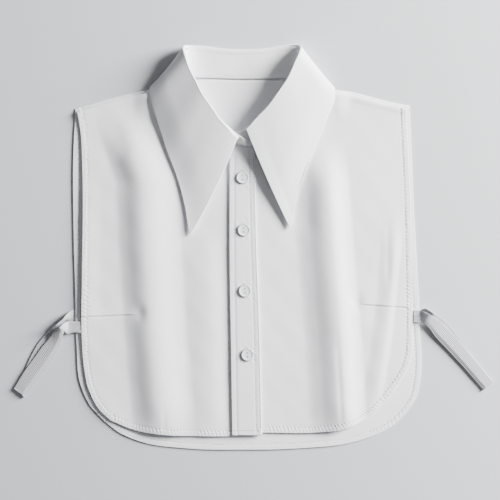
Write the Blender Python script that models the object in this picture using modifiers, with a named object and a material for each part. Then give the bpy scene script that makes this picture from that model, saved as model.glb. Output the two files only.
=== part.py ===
"""Detachable shirt collar: a long-pointed collar on a sleeveless bib, buttoned and laid flat on its back.

It lies on the XY plane with its front up: +Y runs towards the collar, +Z away from the surface, and -X is
the wearer's right. The origin is under the centre-front neck point. Tables are in millimetres.
"""

import math
from collections import namedtuple

import bmesh
import bpy
import numpy as np

MM = 0.001

# Driving dimensions, in metres.
CLOTH = 0.0010            # wall of a single cloth panel
COLLAR_CLOTH = 0.0013     # wall of the interfaced collar leaf and stand
SEAM_GAP = 0.0003         # clearance between sewn pieces
LAYER_STEP = CLOTH + 0.0007   # a panel's height above the one it lies on
SHOULDER_ROLL = 0.0011    # radius of the soft fold along the shoulders
SHOULDER_TURN = 0.0030    # how far the back reaches over the shoulder to its seam
LEAF_LIFT = 0.00200       # how far the back leaf, lying under the yoke, raises the back panel
BAND_THICKNESS = 0.0010   # knitted elastic
BUTTON_RADIUS = 0.00625   # 20 ligne
BUTTON_THICKNESS = 0.0024
BUTTON_HOLE_RADIUS = 0.0008
BUTTON_HOLE_OFFSET = 0.0019

# How finely each piece is divided: columns across it, rows or lines down it, sections along it.
SHOULDER_COLUMNS = 8
NECK_COLUMNS = 10
BACK_ROWS = 17
FRONT_ROWS = 18
PLACKET_COLUMNS = 5
PLACKET_ROWS = 21
LEAF_SECTIONS = 61
LEAF_LINES = 9
STAND_SECTIONS = 73
STAND_LINES = 4
BAND_ROWS = 44
SHOULDER_ANGLES = (180, 120, 60, 0)
BAND_TURN_ANGLES = (30, 60, 90, 120, 150)
BUTTON_SEGMENTS = 24
HOLE_SEGMENTS = 10
MERGE_DISTANCE = 0.00001  # points nearer than this are one

# A slope between two rows is at most this many times the gentler rate beside it.
STEEPEST = 3

# Where the back leaf lies under the back panel, in millimetres: the ramps by which the panel climbs it.
LEAF_RAMP_START = 6
LEAF_RAMP = 27
LEAF_MIDDLE = -5
LEAF_HALF_WIDTH = 110
LEAF_SIDE_RAMP = 16

SHOULDER_SOFTNESS = 13    # millimetres over which a front comes down from the shoulder fold
FOLD_FADE = 60            # millimetres over which a crease fades in and out

# Shoulder lines, from the tip to the neck, with one row for each point on the fold.
RIGHT_SHOULDER = ((-171.5, 22.6), (-147, 30), (-113.5, 38.4), (-97, 41.4), (-84, 43), (-72, 46))
LEFT_SHOULDER = ((162.2, 25.6), (142.5, 29.6), (124.5, 34.2), (107.5, 38.8), (88, 41.4), (76, 42.6), (63, 45.4))
BACK_NECK = ((-72, 46), (-62, 50), (-48, 51.4), (-5, 50.6), (38, 51), (53, 49.4), (63, 45.4))

# Crease crests on the fronts: where each runs at five levels down the panel, how far it reaches to
# either side, how high it stands, and the levels it fades in and out at.
FOLD_LEVELS = (20, -50, -120, -200, -290)
Fold = namedtuple("Fold", "shoulder armhole chest dart hem left right height starts ends")
FOLDS = (
    Fold(-127, -103, -99.5, -94, -86, 30, 36, 4.6, 30, -330),
    Fold(72, 79.5, 84.5, 91.5, 97, 36, 24, 4.8, 0, -330),
    Fold(-40, -40, -41, -38, -36, 26, 18, 1.3, -80, -330),
    Fold(-166, -166, -166, -166, -166, 12, 22, 1.0, -30, -230),
    Fold(150, 148, 146, 138, 124, 14, 9, 1.2, -70, -300),
)

# Sections of the collar leaf, each running from the fold to the free edge, from the wearer's right
# point round the back to the left one. bow pushes a section sideways at its middle, and drop says how
# soon it falls from the fold's height to the edge's.
Leaf = namedtuple("Leaf", "fold_x fold_y fold_z edge_x edge_y edge_z bow drop")
LEAF = (
    Leaf(-10.5, -10.5, 12.6, -56.0, -103.5, 5.6, 2.2, 2.2),
    Leaf(-14.5, -6.0, 13.6, -58.2, -98.0, 5.2, 1.8, 2.1),
    Leaf(-20.5, 2.0, 15.0, -60.4, -83.0, 4.9, 1.2, 1.9),
    Leaf(-27.0, 9.5, 16.0, -63.2, -69.0, 4.8, 0.6, 1.7),
    Leaf(-35.5, 22.0, 17.6, -70.0, -45.0, 4.9, 0, 1.5),
    Leaf(-44.5, 35.0, 19.2, -79.5, -20.0, 5.6, 0, 1.3),
    Leaf(-51.5, 49.0, 19.6, -87.5, 5.0, 6.4, 0, 1.2),
    Leaf(-57.5, 61.0, 19.6, -93.2, 22.0, 7.2, 0.4, 1.1),
    Leaf(-61.8, 74.0, 17.6, -96.4, 34.0, 7.4, 1.0, 1.0),
    Leaf(-63.4, 81.5, 13.2, -96.8, 41.6, 6.6, 1.8, 1.0),
    Leaf(-62.0, 84.5, 8.3, -94.6, 45.4, 2.9, 1.8, 1.0),
    Leaf(-57.0, 85.2, 4.4, -86.0, 43.4, 0.8, 1.0, 1.3),
    Leaf(-44.0, 85.0, 2.3, -66.0, 38.5, 0.7, 0, 2.5),
    Leaf(-26.5, 82.6, 2.0, -36.0, 36.0, 0.7, 0, 3.0),
    Leaf(-3.0, 81.4, 2.0, -4.0, 35.0, 0.7, 0, 3.0),
    Leaf(17.5, 82.4, 2.0, 28.0, 36.0, 0.7, 0, 3.0),
    Leaf(35.0, 85.2, 2.3, 58.0, 38.5, 0.7, 0, 2.5),
    Leaf(47.0, 86.0, 4.4, 76.0, 42.4, 0.8, -0.4, 1.3),
    Leaf(52.2, 84.6, 8.3, 84.4, 45.0, 2.9, -0.8, 1.0),
    Leaf(53.6, 82.0, 13.0, 87.2, 41.4, 6.6, -0.8, 1.0),
    Leaf(52.3, 76.0, 17.4, 86.6, 32.0, 7.4, -0.4, 1.0),
    Leaf(48.0, 66.5, 19.3, 79.8, 13.0, 7.2, 0, 1.1),
    Leaf(41.5, 52.0, 19.6, 70.0, -11.0, 6.4, 0, 1.2),
    Leaf(31.5, 37.0, 18.8, 58.8, -39.0, 5.6, 0, 1.3),
    Leaf(20.5, 22.0, 17.2, 50.2, -66.0, 4.9, 0, 1.5),
    Leaf(9.5, 11.0, 15.8, 46.6, -82.0, 4.9, -0.4, 1.8),
    Leaf(3.5, 4.0, 14.9, 45.0, -91.0, 5.3, -0.8, 2.0),
    Leaf(-0.5, -0.5, 14.2, 42.7, -97.0, 5.8, -1.0, 2.2),
)

# Sections of the collar stand, each from its top edge to the neck seam, in the same order. The first
# sections are the rounded right end, which laps over the left end at the centre front.
Stand = namedtuple("Stand", "top_x top_y top_z seam_x seam_y seam_z")
STAND = (
    Stand(4.6, -13.2, 9.0, 4.2, -14.8, 8.5),
    Stand(1.0, -10.6, 10.4, 1.2, -15.4, 8.2),
    Stand(-5.0, -6.8, 12.0, -4.0, -14.4, 7.8),
    Stand(-11.0, -3.0, 12.8, -9.0, -12.6, 7.5),
    Stand(-18.0, 1.6, 13.0, -19.0, -9.0, 6.9),
    Stand(-26.6, 10.0, 13.9, -33.5, -1.0, 5.2),
    Stand(-35.4, 22.3, 15.3, -45.0, 13.5, 4.8),
    Stand(-44.4, 35.2, 16.8, -56.0, 28.0, 5.2),
    Stand(-51.4, 49.0, 17.0, -66.0, 40.0, 5.4),
    Stand(-57.2, 60.8, 16.9, -70.4, 48.6, 5.8),
    Stand(-60.4, 72.0, 14.6, -69.4, 52.0, 5.6),
    Stand(-60.8, 78.8, 11.4, -65.6, 53.4, 4.8),
    Stand(-58.8, 82.0, 8.6, -60.5, 53.9, 4.1),
    Stand(-53.5, 83.3, 6.2, -54.0, 53.6, 3.6),
    Stand(-43.0, 83.6, 4.7, -43.0, 53.2, 3.4),
    Stand(-26.5, 81.4, 4.3, -26.5, 52.6, 3.3),
    Stand(-4.0, 80.3, 4.3, -4.0, 52.1, 3.3),
    Stand(17.5, 81.2, 4.3, 17.5, 52.4, 3.3),
    Stand(34.0, 83.8, 4.7, 34.0, 53.0, 3.4),
    Stand(43.8, 84.0, 6.2, 45.0, 52.9, 3.6),
    Stand(49.0, 82.2, 8.6, 51.5, 52.8, 4.1),
    Stand(51.0, 79.3, 11.4, 57.0, 52.0, 4.8),
    Stand(50.8, 74.0, 14.6, 60.6, 50.6, 5.6),
    Stand(47.4, 66.0, 16.7, 61.2, 47.0, 5.8),
    Stand(41.2, 52.0, 17.0, 55.6, 37.6, 5.4),
    Stand(31.3, 37.2, 16.4, 43.6, 24.5, 5.2),
    Stand(20.3, 22.3, 14.9, 31.0, 8.0, 4.9),
    Stand(9.4, 11.2, 13.4, 18.0, -5.5, 5.0),
    Stand(1.6, 2.4, 12.4, 8.0, -13.0, 5.1),
    Stand(-5.5, -0.5, 10.6, -3.0, -14.2, 4.8),
    Stand(-15.0, -0.9, 8.2, -13.0, -12.6, 4.6),
)

# Routes of the elastic bands. Each leaves a front's side edge, runs out to its folded end, and comes
# back below itself to the back panel. across is the direction of the band's width seen from above,
# tilt its lean out of level, z the height of its lower edge, and width how much of it stays unrolled.
Band = namedtuple("Band", "x y z across tilt width")
RIGHT_BAND_OUT = (
    Band(-165.9, -195.6, 2.4, 90, 0, 11.0),
    Band(-172.0, -195.3, 2.4, 90, 0, 10.5),
    Band(-178.0, -196.0, 2.6, 92, 0, 12.0),
    Band(-181.3, -196.6, 3.2, 98, 25, 11.0),
    Band(-183.8, -197.4, 4.4, 120, 50, 9.0),
    Band(-186.4, -199.4, 5.0, 146, 24, 9.0),
    Band(-189.5, -204.8, 4.0, 148, 4, 11.0),
    Band(-193.0, -211.5, 3.0, 147, 0, 12.6),
    Band(-198.0, -219.0, 2.5, 146, 0, 14.8),
    Band(-205.0, -229.5, 2.2, 146, 0, 15.6),
    Band(-215.5, -243.6, 2.1, 146, 0, 15.3),
    Band(-227.0, -260.7, 2.0, 140, 0, 13.5),
)
RIGHT_BAND_BACK = (
    Band(-227.0, -260.7, 0.6, 140, 0, 13.5),
    Band(-216.0, -240.5, 0.6, 152, 0, 13.5),
    Band(-210.0, -227.5, 0.6, 151, 0, 13.5),
    Band(-204.7, -217.8, 0.6, 145, 0, 13.5),
    Band(-198.6, -208.6, 0.6, 137, 0, 12.0),
    Band(-194.6, -201.6, 0.6, 134, 6, 9.0),
    Band(-191.2, -196.4, 0.6, 132, 36, 6.5),
    Band(-187.6, -192.4, 0.6, 130, 70, 6.0),
    Band(-183.2, -188.7, 0.6, 126, 70, 6.0),
    Band(-179.4, -186.0, 0.6, 112, 40, 7.0),
    Band(-176.2, -184.0, 0.6, 98, 12, 8.0),
    Band(-173.9, -182.8, 0.6, 90, 0, 8.4),
)
LEFT_BAND_OUT = (
    Band(165.9, -184.6, 2.4, 90, 0, 12.0),
    Band(172.0, -184.8, 2.4, 88, 0, 12.0),
    Band(176.2, -185.6, 2.8, 76, 14, 11.0),
    Band(179.6, -187.4, 3.6, 62, 16, 10.5),
    Band(184.0, -190.7, 3.4, 52, 6, 11.2),
    Band(194.8, -201.9, 2.6, 44, 0, 14.8),
    Band(208.4, -216.6, 2.2, 43, 0, 14.2),
    Band(220.2, -230.0, 2.1, 43, 0, 13.3),
    Band(240.4, -253.9, 2.0, 42, 0, 12.2),
)
LEFT_BAND_BACK = (
    Band(240.4, -253.9, 0.6, 42, 0, 12.2),
    Band(229.6, -241.4, 0.6, 41, 0, 13.0),
    Band(219.2, -228.6, 0.6, 40, 0, 13.5),
    Band(206.7, -210.6, 0.6, 39, 0, 13.5),
    Band(194.0, -195.2, 0.6, 45, 0, 13.5),
    Band(187.4, -188.0, 0.6, 48, 4, 10.0),
    Band(183.2, -182.8, 0.6, 52, 36, 7.0),
    Band(180.0, -179.4, 0.6, 66, 60, 6.0),
    Band(178.0, -179.0, 0.6, 78, 50, 6.0),
    Band(176.2, -180.0, 0.6, 86, 24, 6.0),
    Band(174.0, -181.2, 0.6, 90, 0, 6.0),
)

# Button centres, from the neck down.
BUTTONS = ((-4.3, -46.3), (-3.1, -98.6), (-2.1, -159.2), (0.5, -222.8))

# Each material's colour and roughness.
POPLIN = (0.80, 0.80, 0.83), 0.8
COLLAR_POPLIN = (0.82, 0.82, 0.85), 0.75
ELASTIC = (0.62, 0.62, 0.62), 0.9
RESIN = (0.85, 0.85, 0.87), 0.35


def clear_scene():
    for obj in list(bpy.data.objects):
        bpy.data.objects.remove(obj)


def smooth(rows, count):
    """count rows, evenly spaced along the curve that passes through the given ones. Past the first two
    columns the slopes are held down, so that no value overshoots its rows."""
    rows = np.array(rows, float)
    steps = np.linalg.norm(np.diff(rows[:, :3], axis=0), axis=1)
    along = np.concatenate([[0], np.cumsum(steps)])
    slopes = np.gradient(rows, along, axis=0)
    rates = np.diff(rows, axis=0) / steps[:, None]
    most = STEEPEST * np.minimum(np.abs(rates[1:]), np.abs(rates[:-1])) * (rates[1:] * rates[:-1] > 0)
    slopes[1:-1, 2:] = np.clip(slopes[1:-1], -most, most)[:, 2:]
    wanted = np.linspace(0, along[-1], count)
    piece = np.clip(np.searchsorted(along, wanted, side="right") - 1, 0, len(along) - 2)
    length = (along[piece + 1] - along[piece])[:, None]
    q = (wanted - along[piece])[:, None] / length
    start = rows[piece] * (1 + 2 * q) * (1 - q) ** 2 + slopes[piece] * length * q * (1 - q) ** 2
    end = rows[piece + 1] * q**2 * (3 - 2 * q) + slopes[piece + 1] * length * q**2 * (q - 1)
    return start + end


def ease(value):
    """0 below 0, 1 above 1, and a smooth step between."""
    q = np.clip(value, 0, 1)
    return q * q * (3 - 2 * q)


def chained(*curves):
    """Curves joined end to end, each a pair of (points, count)."""
    pieces = [smooth(points, count) for points, count in curves]
    return np.vstack([pieces[0]] + [piece[1:] for piece in pieces[1:]])


def spread(top, bottom, left, right):
    """A grid of plan points between four edges that meet at their corners, as [row, column, xy]."""
    down = np.linspace(0, 1, len(left))[:, None, None]
    across = np.linspace(0, 1, len(top))[None, :, None]
    rows = (1 - down) * top[None] + down * bottom[None]
    columns = (1 - across) * left[:, None] + across * right[:, None]
    upper = (1 - across) * top[0] + across * top[-1]
    lower = (1 - across) * bottom[0] + across * bottom[-1]
    return rows + columns - (1 - down) * upper - down * lower


def back_height(x, y):
    """Middle of the back panel's wall, in millimetres: flat, and raised where the collar lies under it."""
    inside = LEAF_HALF_WIDTH - np.abs(x - LEAF_MIDDLE)
    over_leaf = ease((y - LEAF_RAMP_START) / LEAF_RAMP) * ease(inside / LEAF_SIDE_RAMP)
    return CLOTH / 2 / MM + over_leaf * LEAF_LIFT / MM


def shoulder_y(x):
    line = np.array(RIGHT_SHOULDER + LEFT_SHOULDER[::-1], float)
    return np.interp(x, line[:, 0], line[:, 1])


def front_height(x, y):
    """Middle of a front panel's wall, in millimetres: a layer above the back, with its soft folds."""
    height = back_height(x, y) + LAYER_STEP / MM
    rise = (2 * SHOULDER_ROLL - LAYER_STEP) / MM
    height = height + rise * np.exp(-(((shoulder_y(x) - y) / SHOULDER_SOFTNESS) ** 2))
    levels = FOLD_LEVELS[::-1]
    for fold in FOLDS:
        crest = np.interp(y, levels, (fold.hem, fold.dart, fold.chest, fold.armhole, fold.shoulder))
        reach = np.where(x < crest, fold.left, fold.right)
        bump = np.clip(1 - ((x - crest) / reach) ** 2, 0, 1) ** 2
        fade = ease((fold.starts - y) / FOLD_FADE) * ease((y - fold.ends) / FOLD_FADE)
        height = height + fold.height * bump * fade
    return height


def surface_mesh(name, *grids):
    """A mesh of quads through each grid, [row, column, xyz] in millimetres, joined where they meet."""
    mesh = bmesh.new()
    for grid in grids:
        rows, columns = grid.shape[:2]
        points = [mesh.verts.new(point * MM) for point in grid.reshape(-1, 3)]
        for row in range(rows - 1):
            for column in range(columns - 1):
                first = row * columns + column
                mesh.faces.new((points[first], points[first + columns],
                                points[first + columns + 1], points[first + 1]))
    bmesh.ops.remove_doubles(mesh, verts=mesh.verts, dist=MERGE_DISTANCE)
    data = bpy.data.meshes.new(name)
    mesh.to_mesh(data)
    mesh.free()
    return data


def material(name, colour, roughness):
    made = bpy.data.materials.new(name)
    made.use_nodes = True
    shader = made.node_tree.nodes["Principled BSDF"]
    shader.inputs["Base Color"].default_value = (*colour, 1)
    shader.inputs["Roughness"].default_value = roughness
    shader.inputs["Metallic"].default_value = 0
    return made


def place(collection, name, data, finish):
    obj = bpy.data.objects.new(name, data)
    collection.objects.link(obj)
    data.materials.clear()
    data.materials.append(material(name, *finish))
    data.shade_smooth()
    return obj


def thicken(obj, thickness):
    wall = obj.modifiers.new("wall", "SOLIDIFY")
    wall.thickness = thickness
    wall.offset = 0
    wall.use_rim = True


def with_height(plan, height):
    return np.dstack([plan, height(plan[..., 0], plan[..., 1])])


def add_back_panel(collection):
    """The back, one layer on the surface, turned over the shoulders to its seams with the fronts."""
    top = chained((RIGHT_SHOULDER, SHOULDER_COLUMNS), (BACK_NECK, NECK_COLUMNS),
                  (LEFT_SHOULDER[::-1], SHOULDER_COLUMNS))
    right = smooth((RIGHT_SHOULDER[0], (-173.6, -20), (-173.4, -100), (-171.8, -160), (-170.4, -215),
                    (-166.5, -253), (-156, -275), (-143, -289)), BACK_ROWS)
    left = smooth((LEFT_SHOULDER[0], (164.3, -20), (166.6, -75), (170.5, -149), (172.7, -195), (172.9, -248),
                   (169, -266), (160, -280), (147.5, -293)), BACK_ROWS)
    hem = smooth(((-143, -289), (-127.5, -301), (-108, -309.5), (-58.5, -317), (-5, -318.2), (48.5, -317),
                  (108, -310), (133.5, -301), (147.5, -293)), len(top))
    flat = with_height(spread(top, hem, right, left), back_height)
    turns = [over_shoulder(edge) for edge in (flat[0, :SHOULDER_COLUMNS], flat[0, -SHOULDER_COLUMNS:])]
    thicken(place(collection, "back_panel", surface_mesh("back_panel", flat, *turns), POPLIN), CLOTH)


def over_shoulder(edge):
    """The strip that carries a shoulder edge round the fold and on to its seam, ending with the edge."""
    rows = []
    for angle in SHOULDER_ANGLES:
        row = edge.copy()
        row[:, 1] += SHOULDER_ROLL / MM * math.sin(math.radians(angle))
        row[:, 2] += SHOULDER_ROLL / MM * (1 - math.cos(math.radians(angle)))
        rows.append(row)
    seam = rows[0] - (0, SHOULDER_TURN / MM, 0)
    return np.stack([seam, *rows])


def seam_below(shoulder):
    """The front's top edge: the shoulder line, moved down past the part the back covers."""
    drop = (SHOULDER_TURN + SEAM_GAP) / MM
    return [(x, y - drop) for x, y in shoulder]


def add_front_right(collection):
    """The wearer's right front, which runs under the placket."""
    shoulder = seam_below(((-169.6, 23.2),) + RIGHT_SHOULDER[1:])
    neck = (shoulder[-1], (-67.5, 35), (-58.5, 23), (-47.5, 9), (-35.5, -5), (-20, -13), (3, -17.5))
    top = chained((shoulder, SHOULDER_COLUMNS), (neck, NECK_COLUMNS))
    side = smooth((shoulder[0], (-166.4, 0), (-164.4, -40), (-164.7, -150), (-165, -205), (-163, -234),
                   (-158, -258), (-147.5, -277.5), (-136, -288.5)), FRONT_ROWS)
    hem = smooth(((-136, -288.5), (-112.5, -298), (-83.5, -302.8), (-46.5, -304.3), (6.5, -304.3)), len(top))
    centre = smooth(((3, -17.5), (3.5, -150), (6.5, -304.3)), len(side))
    grid = with_height(spread(top, hem, side, centre), front_height)
    thicken(place(collection, "front_right", surface_mesh("front_right", grid), POPLIN), CLOTH)


def add_front_left(collection):
    """The wearer's left front, whose edge is covered by the placket."""
    shoulder = seam_below(LEFT_SHOULDER[:0:-1] + ((158.8, 26.4),))
    neck = ((5, -17.5), (19, -10), (33, 4), (46, 20), (57.5, 34), shoulder[0])
    top = chained((neck, NECK_COLUMNS), (shoulder, SHOULDER_COLUMNS))
    centre = smooth(((5, -17.5), (6, -119), (8.5, -189), (11, -300.8)), FRONT_ROWS)
    side = smooth((shoulder[-1], (160.7, -17), (162.6, -56), (164.2, -120), (164.9, -200), (164.2, -220),
                   (159.5, -237), (149.5, -253.5), (137.5, -269.5)), len(centre))
    hem = smooth(((11, -300.8), (73.5, -300.3), (94.5, -297.6), (107, -293), (124, -283),
                  (137.5, -269.5)), len(top))
    grid = with_height(spread(top, hem, centre, side), front_height)
    thicken(place(collection, "front_left", surface_mesh("front_left", grid), POPLIN), CLOTH)


def placket_height(x, y):
    return front_height(x, y) + (CLOTH + SEAM_GAP) / MM


def add_placket(collection):
    """The buttonhole strip, lying on the left front's edge and over the right front."""
    top = smooth(((-17.5, -12.5), (-10.5, -13.8), (0.5, -15.8), (7.5, -16)), PLACKET_COLUMNS)
    hem = smooth(((-15, -303.3), (15.1, -303.3)), len(top))
    free_edge = smooth(((-17.5, -12.5), (-17.5, -139), (-16.2, -220), (-15, -303.3)), PLACKET_ROWS)
    seam = smooth(((7.5, -16), (10, -119), (12.5, -189), (15.1, -303.3)), len(free_edge))
    grid = with_height(spread(top, hem, free_edge, seam), placket_height)
    thicken(place(collection, "placket", surface_mesh("placket", grid), POPLIN), CLOTH)


def add_collar_leaf(collection):
    """The fall of the collar: one piece from point to point, passing under the back neck."""
    sections = smooth(LEAF, LEAF_SECTIONS)
    fold, edge, bow, drop = sections[:, :3], sections[:, 3:6], sections[:, 6], sections[:, 7]
    sideways = np.stack([-(edge - fold)[:, 1], (edge - fold)[:, 0]], axis=1)
    sideways /= np.linalg.norm(sideways, axis=1)[:, None]
    rows = []
    for share in np.linspace(0, 1, LEAF_LINES):
        row = fold + (edge - fold) * share
        row[:, :2] += sideways * (bow * 4 * share * (1 - share))[:, None]
        row[:, 2] = edge[:, 2] + (fold[:, 2] - edge[:, 2]) * (1 - share) ** drop
        rows.append(row)
    data = surface_mesh("collar_leaf", np.stack(rows))
    thicken(place(collection, "collar_leaf", data, COLLAR_POPLIN), COLLAR_CLOTH)


def add_collar_stand(collection):
    """The upright band between the neck seam and the leaf, its ends lapped at the centre front."""
    sections = smooth(STAND, STAND_SECTIONS)
    top, seam = sections[:, :3], sections[:, 3:]
    rows = [top + (seam - top) * share for share in np.linspace(0, 1, STAND_LINES)]
    data = surface_mesh("collar_stand", np.stack(rows))
    thicken(place(collection, "collar_stand", data, COLLAR_POPLIN), COLLAR_CLOTH)


def folded(out, back):
    """Both runs of a band, joined by the half turn at its folded end."""
    upper, lower = smooth(out, BAND_ROWS), smooth(back, BAND_ROWS)
    heading = upper[-1, :2] - upper[-2, :2]
    heading /= np.linalg.norm(heading)
    half = (upper[-1, 2] - lower[0, 2]) / 2
    turn = []
    for angle in np.radians(BAND_TURN_ANGLES):
        row = (upper[-1] + lower[0]) / 2
        row[:2] += heading * half * math.sin(angle)
        row[2] += half * math.cos(angle)
        turn.append(row)
    return np.vstack([upper, turn, lower])


def add_band(collection, name, out, back):
    """A doubled length of elastic: a flat ribbon swept along its route."""
    rows = folded(out, back)
    across, tilt = np.radians(rows[:, 3]), np.radians(rows[:, 4])
    width = np.stack([np.cos(across) * np.cos(tilt), np.sin(across) * np.cos(tilt), np.sin(tilt)], axis=1)
    half = rows[:, 5] / 2
    centre = rows[:, :3].copy()
    centre[:, 2] += half * np.sin(tilt)
    reach = width * half[:, None]
    grid = np.stack([centre - reach, centre, centre + reach])
    thicken(place(collection, name, surface_mesh(name, grid), ELASTIC), BAND_THICKNESS)


def button_mesh():
    """A turned button with a raised rim and a dished face, before its two holes."""
    radius, thick = BUTTON_RADIUS, BUTTON_THICKNESS
    profile = ((0, 0.72 * thick), (0.66 * radius, 0.74 * thick), (0.78 * radius, thick),
               (0.92 * radius, thick), (radius, 0.66 * thick), (radius, 0.3 * thick),
               (0.86 * radius, 0), (0, 0))
    mesh = bmesh.new()
    points = [mesh.verts.new((r, 0, z)) for r, z in profile]
    edges = [mesh.edges.new(pair) for pair in zip(points, points[1:])]
    bmesh.ops.spin(mesh, geom=points + edges, cent=(0, 0, 0), axis=(0, 0, 1), angle=math.tau,
                   steps=BUTTON_SEGMENTS, use_duplicate=False)
    bmesh.ops.remove_doubles(mesh, verts=mesh.verts, dist=MERGE_DISTANCE)
    bmesh.ops.recalc_face_normals(mesh, faces=mesh.faces)
    data = bpy.data.meshes.new("button")
    mesh.to_mesh(data)
    mesh.free()
    return data


def add_button(collection, cutters, name, x, y):
    obj = place(collection, name, button_mesh(), RESIN)
    height = placket_height(np.array(x), np.array(y)) * MM + CLOTH / 2 + SEAM_GAP
    obj.location = (x * MM, y * MM, float(height))
    for side in (-1, 1):
        mesh = bmesh.new()
        bmesh.ops.create_cone(mesh, cap_ends=True, segments=HOLE_SEGMENTS,
                              radius1=BUTTON_HOLE_RADIUS, radius2=BUTTON_HOLE_RADIUS, depth=4 * BUTTON_THICKNESS)
        data = bpy.data.meshes.new("hole")
        mesh.to_mesh(data)
        mesh.free()
        hole = bpy.data.objects.new(f"{name}_hole_{side}", data)
        cutters.objects.link(hole)
        hole.location = (x * MM, y * MM + side * BUTTON_HOLE_OFFSET, float(height))
        hole.hide_render = True
        hole.display_type = "WIRE"
        cut = obj.modifiers.new("hole", "BOOLEAN")
        cut.operation = "DIFFERENCE"
        cut.object = hole


def main():
    clear_scene()
    collection = bpy.data.collections.new("detachable shirt collar")
    cutters = bpy.data.collections.new("cutters")
    bpy.context.scene.collection.children.link(collection)
    bpy.context.scene.collection.children.link(cutters)
    add_back_panel(collection)
    add_front_right(collection)
    add_front_left(collection)
    add_placket(collection)
    add_collar_stand(collection)
    add_collar_leaf(collection)
    for number, (x, y) in enumerate(BUTTONS, 1):
        add_button(collection, cutters, f"button_{number}", x, y)
    add_band(collection, "strap_right", RIGHT_BAND_OUT, RIGHT_BAND_BACK)
    add_band(collection, "strap_left", LEFT_BAND_OUT, LEFT_BAND_BACK)


main()
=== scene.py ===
from collections import namedtuple

import bmesh
import bpy
import numpy as np
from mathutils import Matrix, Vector


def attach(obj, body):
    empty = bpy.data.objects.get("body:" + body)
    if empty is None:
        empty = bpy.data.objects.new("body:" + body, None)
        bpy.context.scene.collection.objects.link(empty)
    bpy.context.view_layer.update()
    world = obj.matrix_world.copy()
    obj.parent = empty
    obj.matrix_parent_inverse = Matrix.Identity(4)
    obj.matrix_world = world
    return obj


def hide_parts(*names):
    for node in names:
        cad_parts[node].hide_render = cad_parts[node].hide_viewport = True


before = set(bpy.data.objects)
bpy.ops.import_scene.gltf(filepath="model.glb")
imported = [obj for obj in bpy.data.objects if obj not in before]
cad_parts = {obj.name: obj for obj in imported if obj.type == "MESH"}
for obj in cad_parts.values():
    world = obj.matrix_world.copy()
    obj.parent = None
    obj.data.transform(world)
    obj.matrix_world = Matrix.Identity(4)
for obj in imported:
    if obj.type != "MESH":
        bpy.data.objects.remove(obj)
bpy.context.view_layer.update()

# Back panel: one layer of white cotton poplin, lying on the surface with its turned hem showing all
# round the fronts. The hem is folded twice and machine stitched, which puckers it a little.
MM = 0.001
POPLIN_THICK = 0.45
HEM_WIDTH = 6.0
HEM_STEP = 0.2
HEM_TURN = 0.9
HEM_PUCKER = 0.23
HEM_PUCKER_RATE = 1.8
STITCH_INSET = 0.8
STITCH_GROOVE = 0.22
STITCH_PITCH = 3.0
STITCH_LENGTH = 1.9
STITCH_WIDTH = 0.8
STITCH_SLANT = 0.2
STEEPEST = 3
LEAF_LIFT = 2.0
RIGHT_SHOULDER = ((-171.5, 22.6), (-147, 30), (-113.5, 38.4), (-97, 41.4), (-84, 43), (-72, 46))
LEFT_SHOULDER = ((162.2, 25.6), (142.5, 29.6), (124.5, 34.2), (107.5, 38.8), (88, 41.4), (76, 42.6),
                 (63, 45.4))
BACK_NECK = ((-72, 46), (-62, 50), (-48, 51.4), (-5, 50.6), (38, 51), (53, 49.4), (63, 45.4))
BACK_RIGHT_SIDE = (RIGHT_SHOULDER[0], (-173.6, -20), (-173.4, -100), (-171.8, -160), (-170.4, -215),
                   (-166.5, -253), (-156, -275), (-143, -289))
BACK_LEFT_SIDE = (LEFT_SHOULDER[0], (164.3, -20), (166.6, -75), (170.5, -149), (172.7, -195),
                  (172.9, -248), (169, -266), (160, -280), (147.5, -293))
BACK_HEM = ((-143, -289), (-127.5, -301), (-108, -309.5), (-58.5, -317), (-5, -318.2), (48.5, -317),
            (108, -310), (133.5, -301), (147.5, -293))


def ease(value):
    q = np.clip(value, 0, 1)
    return q * q * (3 - 2 * q)


def drafted(rows, shares):
    """Points at the given shares of the length of the smooth curve through the rows."""
    rows = np.array(rows, float)
    steps = np.linalg.norm(np.diff(rows[:, :3], axis=0), axis=1)
    run = np.concatenate([[0], np.cumsum(steps)])
    slopes = np.gradient(rows, run, axis=0)
    rates = np.diff(rows, axis=0) / steps[:, None]
    most = STEEPEST * np.minimum(np.abs(rates[1:]), np.abs(rates[:-1])) * (rates[1:] * rates[:-1] > 0)
    slopes[1:-1, 2:] = np.clip(slopes[1:-1], -most, most)[:, 2:]
    wanted = np.asarray(shares) * run[-1]
    piece = np.clip(np.searchsorted(run, wanted, side="right") - 1, 0, len(run) - 2)
    length = (run[piece + 1] - run[piece])[:, None]
    q = (wanted - run[piece])[:, None] / length
    start = rows[piece] * (1 + 2 * q) * (1 - q) ** 2 + slopes[piece] * length * q * (1 - q) ** 2
    end = rows[piece + 1] * q**2 * (3 - 2 * q) + slopes[piece + 1] * length * q**2 * (q - 1)
    return start + end


def cut_line(*lines):
    """Smooth lines joined end to end, as one closely spaced line."""
    parts = [drafted(line, np.linspace(0, 1, 160)) for line in lines]
    return np.vstack([parts[0]] + [part[1:] for part in parts[1:]])


def paced(line, shares):
    run = np.concatenate([[0], np.cumsum(np.linalg.norm(np.diff(line, axis=0), axis=1))])
    wanted = np.asarray(shares) * run[-1]
    return np.column_stack([np.interp(wanted, run, line[:, k]) for k in range(line.shape[1])])


def shares(count, *finer):
    """Shares from 0 to 1, closer together round each (place, gain, width)."""
    q = np.linspace(0, 1, 2000)
    density = np.ones_like(q)
    for place, gain, width in finer:
        density += gain * np.exp(-(((q - place) / width) ** 2))
    total = np.concatenate([[0], np.cumsum((density[1:] + density[:-1]) / 2)])
    return np.interp(np.linspace(0, total[-1], count), total, q)


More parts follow.
